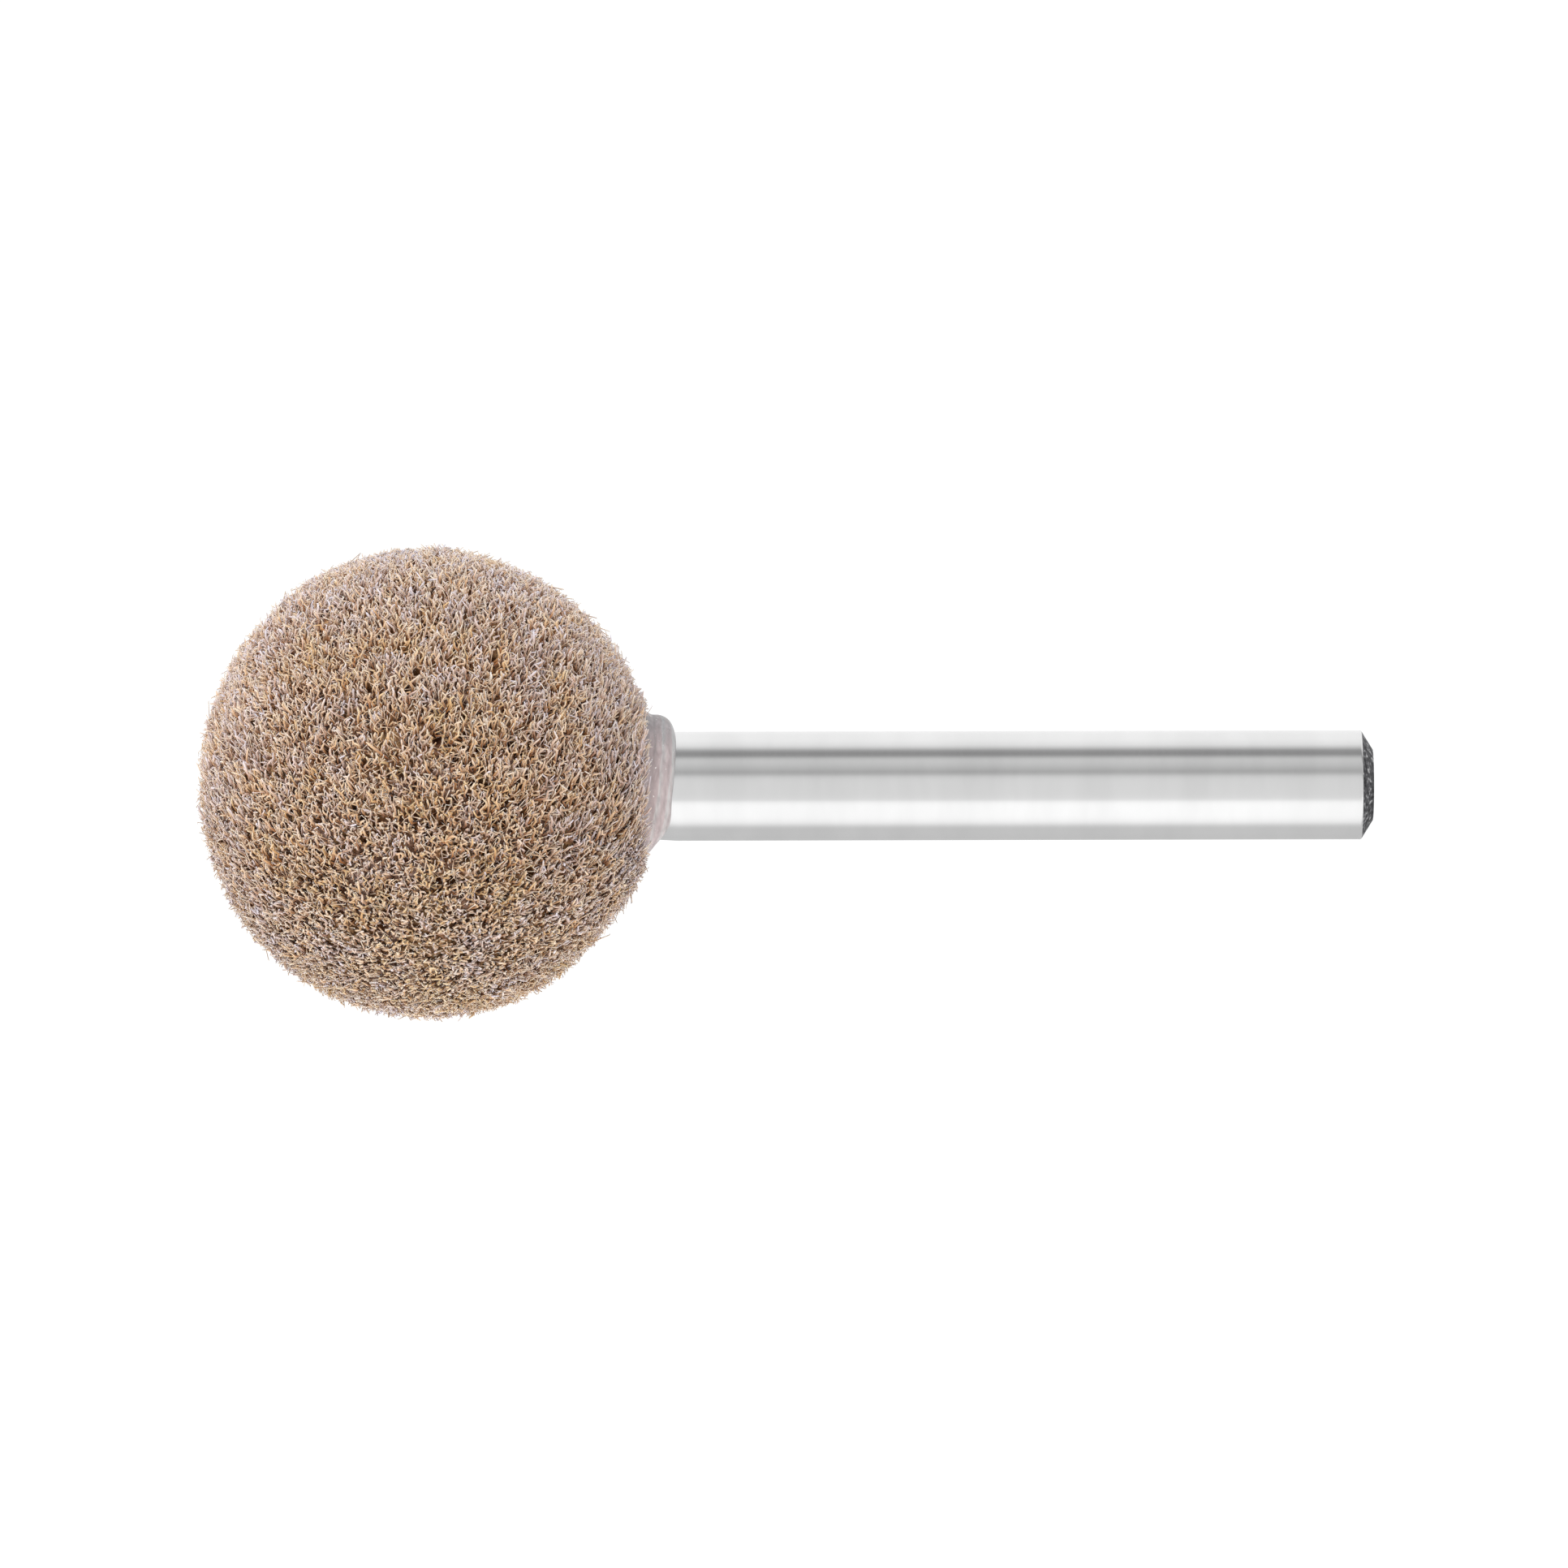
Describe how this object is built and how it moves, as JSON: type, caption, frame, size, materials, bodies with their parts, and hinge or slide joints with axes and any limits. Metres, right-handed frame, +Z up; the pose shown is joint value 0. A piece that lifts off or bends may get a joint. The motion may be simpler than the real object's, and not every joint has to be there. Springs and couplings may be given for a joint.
{
  "type": "fleece polishing point",
  "caption": "Ball-shaped fleece polishing point, bonded with resin to a round steel shank for a collet.",
  "frame": {"origin": "on the shank's axis, half way along the plain cylinder that a collet can grip", "axes": "+X along the shank towards its free end, away from the fleece ball; +Z up as pictured"},
  "size_m": [0.0644, 0.026, 0.026],
  "materials": {
    "shank_steel": "ground and polished",
    "fleece": "raised curly nap",
    "resin": "cured, translucent"
  },
  "bodies": {
    "root": {"shank": "shank_steel", "fleece_ball": "fleece", "resin_bond": "resin"}
  },
  "joints": []
}
